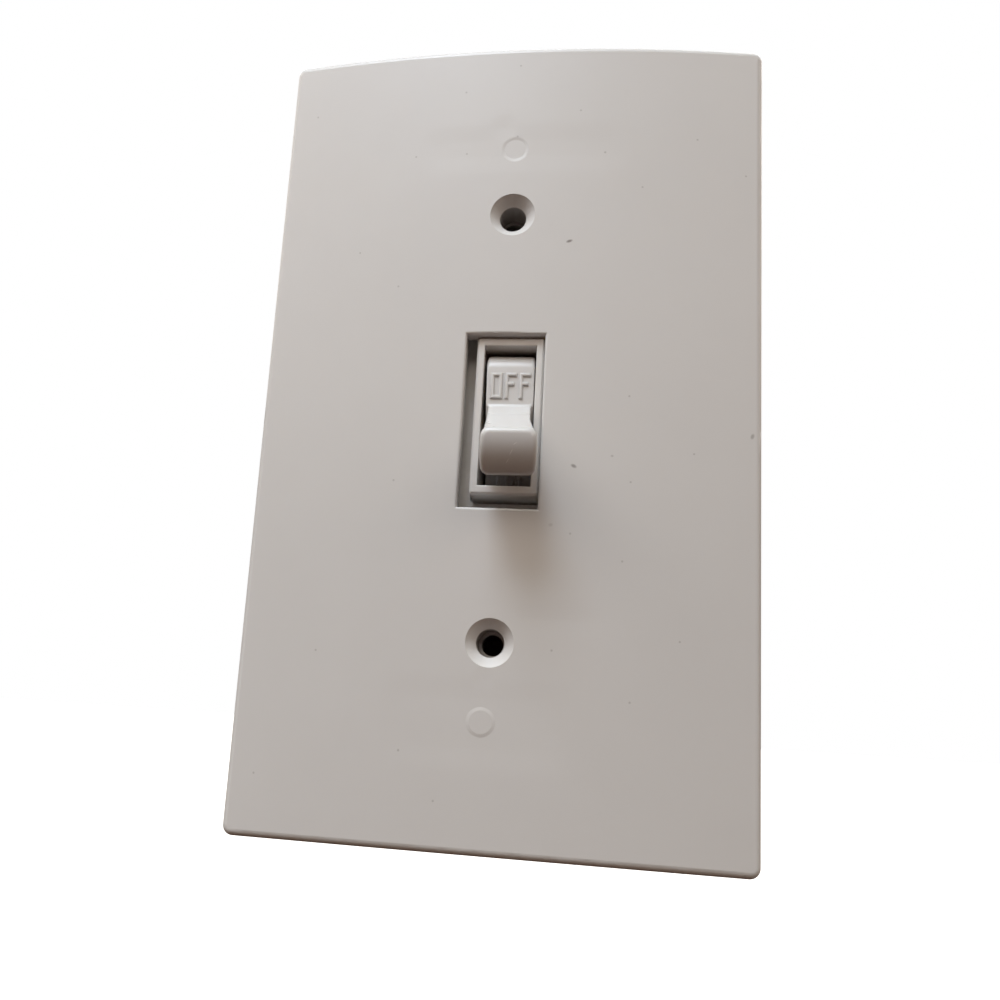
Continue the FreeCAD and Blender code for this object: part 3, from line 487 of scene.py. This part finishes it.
def toggle_mesh():
    shell = Shell()
    profile = toggle_profile()
    loops = []
    for u, v in profile:
        half_w = toggle_half_width(u)
        on_tip = ease(u, *SECTION_CHANGE)
        r = BACK_CORNER + (FLAT_CORNER - BACK_CORNER) * ease(u, *CORNER_CHANGE)
        r += (TIP_CORNER - FLAT_CORNER) * on_tip
        section = rounded_section(half_w, v, r, barrel=TIP_BARREL * on_tip)
        shift = TIP_SHIFT * ease(u, *TIP_CHANGE)
        loops.append([toggle_point(u, z, x + shift) for x, z in section])
    # the end face is part of a cylinder that lies across the toggle, inside a rounded rim
    last_u, last_v = profile[-1]
    last_w = toggle_half_width(last_u)

    def end_point(x, z, out):
        return toggle_point(last_u + out + TIP_DOME * (1 - (z / TIP[1]) ** 2), z, x + TIP_SHIFT)

    def end_section(inset, shrink=1.0):
        corner_r = TIP_CORNER - inset * 0.6
        section = rounded_section(last_w - inset, last_v - inset, corner_r, barrel=TIP_BARREL)
        return [(x * shrink, z * shrink) for x, z in section]

    loops.append([end_point(x, z, 0.0) for x, z in end_section(0.0)])
    for i in range(1, 9):
        a = math.radians(90 * i / 8)
        inset = END_RIM * (1 - math.cos(a))
        loops.append([end_point(x, z, END_RIM * math.sin(a)) for x, z in end_section(inset)])
    for i in range(1, 16):
        loops.append([end_point(x, z, END_RIM) for x, z in end_section(END_RIM, 1 - i / 16)])
    rings = shell.loft(loops)
    shell.fan(rings[-1], end_point(0, 0, END_RIM))
    shell.cap(rings[0])
    # trunnions
    angles = [math.tau * i / 40 for i in range(40)]
    stations = ((TRUNNION_START, TRUNNION_R), (TRUNNION_END - TRUNNION_CHAMFER, TRUNNION_R),
                (TRUNNION_END, TRUNNION_R - TRUNNION_CHAMFER))
    for side in (-1, 1):
        rings = shell.loft([[toggle_point(r * math.cos(a), r * math.sin(a), side * w, 0) for a in angles]
                            for w, r in stations])
        shell.cap(rings[0])
        shell.cap(rings[-1])
    # tail, a square sleeve round the spring's bore
    outer = rounded_section(TAIL_HALF_W, TAIL_HALF_V, TAIL_CORNER, corner=5, side=7)
    inner = [(BORE_R * x / math.hypot(x, z), BORE_R * z / math.hypot(x, z)) for x, z in outer]
    sleeve = ((outer, TAIL_START, 1.0), (outer, TAIL_END - 0.15, 1.0), (outer, TAIL_END, 0.96),
              (inner, TAIL_END, 1.06), (inner, TAIL_END - 0.1, 1.0), (inner, BORE_FLOOR, 1.0))
    loops = [[toggle_point(-depth, z * size, x * size, 0) for x, z in section]
             for section, depth, size in sleeve]
    rings = shell.loft(loops)
    shell.cap(rings[-1])
    return shell


def letter_outlines(letter, w, h, s):
    """Outline of a plain block letter of width w, height h and stroke s, then of its hole if it has one."""
    if letter == "O":
        return [[(0, 0), (w, 0), (w, h), (0, h)], [(s, s), (w - s, s), (w - s, h - s), (s, h - s)]]
    if letter == "F":
        mid = h * 0.5
        return [[(0, 0), (s, 0), (s, mid), (w * 0.8, mid), (w * 0.8, mid + s), (s, mid + s),
                 (s, h - s), (w, h - s), (w, h), (0, h)]]
    return [[(0, 0), (s, 0), (s, h - 2.4 * s), (w - s, 0), (w, 0), (w, h), (w - s, h),
             (w - s, 2.4 * s), (s, h), (0, h)]]


MARK_W, MARK_H, MARK_PITCH, MARK_STROKE, MARK_RAISE = 1.66, 3.85, 1.95, 0.54, 0.26
MARK_SHIFT, MARK_SIDE = 0.22, 0.06
MARK_ROUND = 0.21


def word_mesh(word, origin, across, up, out):
    """A raised word as one mesh: 2-D outlines given a bevelled thickness."""
    curve = bpy.data.curves.new(word, "CURVE")
    curve.dimensions = "2D"
    curve.fill_mode = "BOTH"
    curve.extrude = (MARK_RAISE - MARK_ROUND) * MM
    curve.bevel_depth = MARK_ROUND * MM
    curve.bevel_resolution = 4
    curve.offset = -MARK_ROUND * MM
    width = MARK_PITCH * (len(word) - 1) + MARK_W
    for k, letter in enumerate(word):
        for outline in letter_outlines(letter, MARK_W, MARK_H, MARK_STROKE):
            spline = curve.splines.new("POLY")
            spline.points.add(len(outline) - 1)
            spline.use_cyclic_u = True
            for point, (x, y) in zip(spline.points, outline):
                point.co = ((x + k * MARK_PITCH - width / 2) * MM, (y - MARK_H / 2) * MM, 0, 1)
    holder = bpy.data.objects.new(word, curve)
    mesh = bpy.data.meshes.new_from_object(holder)
    bpy.data.objects.remove(holder)
    bpy.data.curves.remove(curve)
    turn = Matrix((across, up, out)).transposed().to_4x4()
    mesh.transform(Matrix.Translation(origin * MM) @ turn)
    return mesh


def word_point(sign, distance, along):
    """A point by the flat of the OFF word (sign 1) or of the ON word (sign -1)."""
    u, v = on_flat(distance, along)
    return toggle_point(u, sign * v, MARK_SIDE)


shell = toggle_mesh()
toggle = finish_mesh("toggle_handle", shell.verts, shell.faces, toggle_plastic,
                     "toggle", 40)
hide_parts("toggle_lever")

word_middle = RIDGE_ALONG + FLAT_LENGTH / 2 + MARK_SHIFT
for word, sign in (("OFF", 1), ("ON", -1)):
    origin = word_point(sign, FLAT_DISTANCE, word_middle)
    out = (word_point(sign, FLAT_DISTANCE + 1, word_middle) - origin).normalized()
    up = (word_point(sign, FLAT_DISTANCE, word_middle + sign) - origin).normalized()
    mesh = word_mesh(word, origin, up.cross(out).normalized(), up, out)
    mesh.materials.append(toggle_plastic)
    mesh.shade_smooth()
    mesh.set_sharp_from_angle(angle=math.radians(30))
    mark = bpy.data.objects.new("toggle_word_" + word.lower(), mesh)
    bpy.context.scene.collection.objects.link(mark)
    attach(mark, "toggle")


# ---- toggle's spring -----------------------------------------------------------------------------
SPRING_R, SPRING_WIRE, SPRING_TURNS = 1.2, 0.165, 5.0
SPRING_START, SPRING_END = 1.59, 6.01


def spring_mesh(steps=36, around=12):
    """A round-wire coil behind the pivot, between the bore's floor and the plunger."""
    shell = Shell()
    loops = []
    for k in range(int(SPRING_TURNS * steps) + 1):
        turn = math.tau * k / steps
        depth = SPRING_START + (SPRING_END - SPRING_START) * k / (SPRING_TURNS * steps)
        loop = []
        for i in range(around):
            a = math.tau * i / around
            r = SPRING_R + SPRING_WIRE * math.cos(a)
            u = -depth - SPRING_WIRE * math.sin(a)
            loop.append(toggle_point(u, r * math.sin(turn), r * math.cos(turn), 0))
        loops.append(loop)
    rings = shell.loft(loops)
    shell.cap(rings[0])
    shell.cap(rings[-1])
    return shell


shell = spring_mesh()
piece = finish_mesh("spring_coil", shell.verts, shell.faces, spring_steel, "toggle", 40)
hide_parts("toggle_spring")
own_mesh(piece)


# ---- screws --------------------------------------------------------------------------------------
PITCH = 0.8
AROUND = 40
CREST_HALF = 0.42                       # half the width of a thread's ridge, as a share of the pitch


class Screw(Shell):
    """A screw drawn along its own axis: t runs from under the head down the shank."""

    def __init__(self, seat, axis, slot_way):
        super().__init__()
        self.seat = Vector(seat)
        self.axis = Vector(axis)
        self.across = Vector(slot_way)
        self.side = self.axis.cross(self.across)

    def point(self, r, angle, t):
        radial = self.across * (r * math.cos(angle)) + self.side * (r * math.sin(angle))
        return self.seat + self.axis * t + radial

    def ring(self, r, t, hexagon=0.0):
        """A round ring, or part of the way to a hexagon of the same corner radius."""
        out = []
        for i in range(AROUND):
            angle = math.tau * i / AROUND
            flat = math.cos(math.pi / 6) / math.cos((angle + math.pi / 6) % (math.pi / 3) - math.pi / 6)
            out.append(self.point(r * (1 + (min(flat, 1.0) - 1) * hexagon), angle, t))
        return out

    def thread(self, major, minor, start, end, steps=8):
        """Rings whose radius follows a helical thread, run out at both ends."""
        rings = []
        count = round((end - start) / PITCH * steps)
        for k in range(count + 1):
            t = start + (end - start) * k / count
            run_out = min(1.0, (t - start) / PITCH, (end - t) / PITCH)
            ring = []
            for i in range(AROUND):
                phase = (t / PITCH - i / AROUND) % 1.0
                crest = max(0.0, 1 - abs(phase - 0.5) / CREST_HALF)
                r = minor + (major - minor) * crest * run_out
                ring.append(self.point(r, math.tau * i / AROUND, t))
            rings.append(ring)
        return rings


def slotted(name, shell, slot_size, slot_place, material, body):
    """Makes the screw and cuts its slot with a box whose edges are slightly rounded."""
    piece = finish_mesh(name, shell.verts, shell.faces, material, body, 30)
    cutter_mesh = bpy.data.meshes.new("slot_cutter")
    bm = bmesh.new()
    bmesh.ops.create_cube(bm, size=1.0)
    bmesh.ops.scale(bm, vec=Vector(slot_size) * MM, verts=bm.verts)
    bmesh.ops.translate(bm, vec=Vector(slot_place) * MM, verts=bm.verts)
    bmesh.ops.bevel(bm, geom=list(bm.edges), offset=0.06 * MM, segments=2, affect="EDGES")
    bm.to_mesh(cutter_mesh)
    bm.free()
    cutter = bpy.data.objects.new("slot_cutter", cutter_mesh)
    bpy.context.scene.collection.objects.link(cutter)
    cut = piece.modifiers.new("slot", "BOOLEAN")
    cut.operation = "DIFFERENCE"
    cut.solver = "EXACT"
    cut.object = cutter
    bpy.context.view_layer.update()
    done = bpy.data.meshes.new_from_object(piece.evaluated_get(bpy.context.evaluated_depsgraph_get()))
    piece.modifiers.clear()
    old = piece.data
    piece.data = done
    bpy.data.meshes.remove(old)
    bpy.data.objects.remove(cutter)
    bpy.data.meshes.remove(cutter_mesh)
    done.set_sharp_from_angle(angle=math.radians(30))
    return piece


def domed_head(screw, r, thickness, crown, washer=None, hexagon=0.0):
    """Rings from the middle of the head's front out over its crown and down to its seat.

    A washer is the radius and thickness of a flange under the head.
    """
    rings = []
    edge = 0.94 * r
    for i in range(1, 9):
        s = i / 8
        rings.append(screw.ring(edge * s, -thickness + crown * s * s * 0.6, hexagon * s))
    for i in range(1, 6):
        a = math.radians(90 * i / 5)
        t = -thickness + crown * (1 - 0.4 * math.cos(a))
        rings.append(screw.ring(edge + (r - edge) * math.sin(a), t, hexagon))
    if washer:
        flange_r, flange_t = washer
        rings.append(screw.ring(r, -flange_t, hexagon))
        rings.append(screw.ring(flange_r - 0.15, -flange_t))
        rings.append(screw.ring(flange_r, -flange_t + 0.15))
        rings.append(screw.ring(flange_r, -0.1))
        rings.append(screw.ring(flange_r - 0.1, 0.0))
    else:
        rings.append(screw.ring(r, -0.12))
        rings.append(screw.ring(r - 0.12, 0.0))
    return rings


def close_ends(screw, rings, front_t, end_t):
    done = screw.loft(rings)
    screw.fan(done[0], screw.point(0, 0, front_t))
    screw.fan(done[-1], screw.point(0, 0, end_t))


# box screws: cylinder head, bare neck held by the washer, and a long thread with a pointed end
BOX_SCREW_Z, BOX_SCREW_SEAT_Y = 41.67, -1.3
BOX_HEAD_R, BOX_HEAD_T, BOX_CROWN = 3.4, 1.8, 0.8
BOX_NECK_R, BOX_NECK_END = 1.5, 3.2
BOX_THREAD_R, BOX_ROOT_R, BOX_THREAD_END = 1.75, 1.32, 26.4
BOX_SLOT = (9.0, 1.8, 1.0)
for sign, place in ((1, "upper"), (-1, "lower")):
    screw = Screw((0, BOX_SCREW_SEAT_Y, sign * BOX_SCREW_Z), (0, 1, 0), (1, 0, 0))
    rings = domed_head(screw, BOX_HEAD_R, BOX_HEAD_T, BOX_CROWN)
    rings += [screw.ring(BOX_NECK_R, 0.0), screw.ring(BOX_NECK_R, BOX_NECK_END)]
    rings += screw.thread(BOX_THREAD_R, BOX_ROOT_R, BOX_NECK_END + 0.1, BOX_THREAD_END)
    rings += [screw.ring(1.3, BOX_THREAD_END + 0.1), screw.ring(0.9, BOX_THREAD_END + 0.85)]
    close_ends(screw, rings, -BOX_HEAD_T, BOX_THREAD_END + 0.9)
    slot_y = BOX_SCREW_SEAT_Y - BOX_HEAD_T
    piece = slotted("box_screw_" + place, screw, BOX_SLOT, (0, slot_y, sign * BOX_SCREW_Z),
                    zinc_steel, "switch_body")
    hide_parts("box_screws")

# terminal and ground screws share a thread; the slot is cut right across their heads
STUD_NECK_R, STUD_NECK_END = 1.9, 0.2
STUD_THREAD_R, STUD_ROOT_R, STUD_THREAD_START, STUD_POINT_R = 2.0, 1.6, 0.25, 1.45
STUD_SLOT = (2.0, 1.1, 12.0)


def stud_shank(screw, thread_end):
    rings = [screw.ring(STUD_NECK_R, 0.0), screw.ring(STUD_NECK_R, STUD_NECK_END)]
    rings += screw.thread(STUD_THREAD_R, STUD_ROOT_R, STUD_THREAD_START, thread_end)
    return rings + [screw.ring(STUD_POINT_R, thread_end + 0.15)]


TERMINAL_X, TERMINAL_Y, TERMINAL_Z = PIVOT.x + 7.0, 11.1, 17.5
TERMINAL_HEAD_R, TERMINAL_HEAD_T, TERMINAL_CROWN, TERMINAL_THREAD_END = 4.1, 2.4, 0.7, 3.4
for name, sign in (("line_screw", 1), ("load_screw", -1)):
    z = PIVOT.z + sign * TERMINAL_Z
    screw = Screw((TERMINAL_X, TERMINAL_Y, z), (-1, 0, 0), (0, 0, 1))
    rings = domed_head(screw, TERMINAL_HEAD_R, TERMINAL_HEAD_T, TERMINAL_CROWN)
    rings += stud_shank(screw, TERMINAL_THREAD_END)
    close_ends(screw, rings, -TERMINAL_HEAD_T, TERMINAL_THREAD_END + 0.2)
    slot_x = TERMINAL_X + TERMINAL_HEAD_T
    piece = slotted(name + "_threaded", screw, STUD_SLOT, (slot_x, TERMINAL_Y, z),
                    terminal_brass, name)
    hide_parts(name)

GROUND_X, GROUND_Y, GROUND_Z = -14.2, 4.6, -36.0
GROUND_HEAD_R, GROUND_HEAD_T, GROUND_CROWN, GROUND_THREAD_END = 3.4, 3.0, 0.5, 5.8
GROUND_FLANGE = (4.1, 0.7)
screw = Screw((GROUND_X, GROUND_Y, GROUND_Z), (1, 0, 0), (0, 0, 1))
rings = domed_head(screw, GROUND_HEAD_R, GROUND_HEAD_T, GROUND_CROWN, GROUND_FLANGE, 1.0)
rings += stud_shank(screw, GROUND_THREAD_END)
close_ends(screw, rings, -GROUND_HEAD_T, GROUND_THREAD_END + 0.2)
piece = slotted("ground_screw_threaded", screw, STUD_SLOT, (GROUND_X - GROUND_HEAD_T, GROUND_Y, GROUND_Z),
                green_screw, "ground_screw")
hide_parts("ground_screw")


# ---- floor, light and camera ---------------------------------------------------------------------
FLOOR_Z, FLOOR_HALF = -0.26, 9.0


def floor_material():
    n = Nodes("floor_pale")
    tone = n.ramp(n.noise(3.0, 3.0), 0.3, 0.7, 0.0, 1.0)
    colour = n.mix(tone, rgba(0.86, 0.86, 0.86), rgba(0.83, 0.83, 0.83))
    n.link(colour, n.bsdf.inputs["Base Color"])
    n.bsdf.inputs["Roughness"].default_value = 0.8
    n.bsdf.inputs["Emission Color"].default_value = rgba(1.0, 1.0, 1.0)
    n.bsdf.inputs["Emission Strength"].default_value = 0.85
    return n.material


floor_mesh = bpy.data.meshes.new("floor")
floor_corners = [(x * FLOOR_HALF, y * FLOOR_HALF, FLOOR_Z) for x, y in ((-1, -1), (1, -1), (1, 1), (-1, 1))]
floor_mesh.from_pydata(floor_corners, [], [(0, 1, 2, 3)])
floor_mesh.materials.append(floor_material())
floor = bpy.data.objects.new("floor", floor_mesh)
bpy.context.scene.collection.objects.link(floor)
floor.visible_diffuse = False
floor.visible_glossy = False


LAMP_DISTANCE = 0.9
# name, azimuth (0 is in front, positive to the right), elevation, side in metres, watts and colour
LAMPS = (("key", -24, 61, 0.33, 5.5, (0.90, 0.99, 1.10)),
         ("left", -65, 45, 0.5, 1.9, (1.0, 1.0, 1.0)),
         ("rear", 160, 50, 0.6, 4.0, (1.0, 1.0, 1.0)))
for name, azimuth, elevation, size, power, colour in LAMPS:
    data = bpy.data.lights.new(name, "AREA")
    data.shape = "SQUARE"
    data.size = size
    data.energy = power
    data.color = colour
    a, e = math.radians(azimuth), math.radians(elevation)
    way = Vector((math.sin(a) * math.cos(e), -math.cos(a) * math.cos(e), math.sin(e)))
    lamp = bpy.data.objects.new(name, data)
    lamp.location = way * LAMP_DISTANCE
    lamp.rotation_euler = (-way).to_track_quat("-Z", "Y").to_euler()
    bpy.context.scene.collection.objects.link(lamp)

world = bpy.data.worlds.new("studio")
bpy.context.scene.world = world
world.use_nodes = True
tree = world.node_tree
tree.nodes.clear()
coords = tree.nodes.new("ShaderNodeTexCoord")
split = tree.nodes.new("ShaderNodeSeparateXYZ")
tree.links.new(coords.outputs["Generated"], split.inputs["Vector"])
height = tree.nodes.new("ShaderNodeMapRange")
height.inputs["From Min"].default_value = -1.0
height.inputs["From Max"].default_value = 1.0
tree.links.new(split.outputs["Z"], height.inputs["Value"])
tones = tree.nodes.new("ShaderNodeValToRGB")
tree.links.new(height.outputs["Result"], tones.inputs["Fac"])
# a dark warm floor, a bright warm band of windows above the horizon, and a dimmer ceiling
SKY = ((0.50, (0.05, 0.028, 0.020)), (0.64, (0.06, 0.04, 0.032)), (0.69, (1.0, 0.87, 0.75)),
       (0.83, (1.0, 0.87, 0.75)), (0.89, (0.14, 0.20, 0.20)))
SKY_STRENGTH = 1.72
while len(tones.color_ramp.elements) < len(SKY):
    tones.color_ramp.elements.new(0.5)
for element, (place, colour) in zip(tones.color_ramp.elements, SKY):
    element.position = place
    element.color = rgba(*colour)
ambient = tree.nodes.new("ShaderNodeBackground")
tree.links.new(tones.outputs["Color"], ambient.inputs["Color"])
ambient.inputs["Strength"].default_value = SKY_STRENGTH
white = tree.nodes.new("ShaderNodeBackground")
white.inputs["Color"].default_value = rgba(1.0, 1.0, 1.0)
seen = tree.nodes.new("ShaderNodeLightPath")
choose = tree.nodes.new("ShaderNodeMixShader")
tree.links.new(seen.outputs["Is Camera Ray"], choose.inputs["Fac"])
tree.links.new(ambient.outputs["Background"], choose.inputs[1])
tree.links.new(white.outputs["Background"], choose.inputs[2])
out = tree.nodes.new("ShaderNodeOutputWorld")
tree.links.new(choose.outputs["Shader"], out.inputs["Surface"])

CAMERA_PLACE = (0.009752, -0.120031, -0.038606)
CAMERA_RIGHT = Vector((0.990188, 0.125272, 0.06192))
CAMERA_DOWN = Vector((0.038938, 0.17821, -0.983222))
CAMERA_FORWARD = Vector((-0.134205, 0.975986, 0.171583))
camera_data = bpy.data.cameras.new("camera")
camera_data.sensor_width = 36.0
camera_data.lens = 31.66
camera_data.shift_x = 0.0501
camera_data.shift_y = 0.0533
camera_data.clip_start = 0.005
camera_data.clip_end = 50.0
camera = bpy.data.objects.new("camera", camera_data)
turned = Matrix((CAMERA_RIGHT, -CAMERA_DOWN, -CAMERA_FORWARD)).transposed()
camera.matrix_world = Matrix.Translation(CAMERA_PLACE) @ turned.to_4x4()
bpy.context.scene.collection.objects.link(camera)
bpy.context.scene.camera = camera
bpy.context.scene.view_settings.view_transform = "Standard"
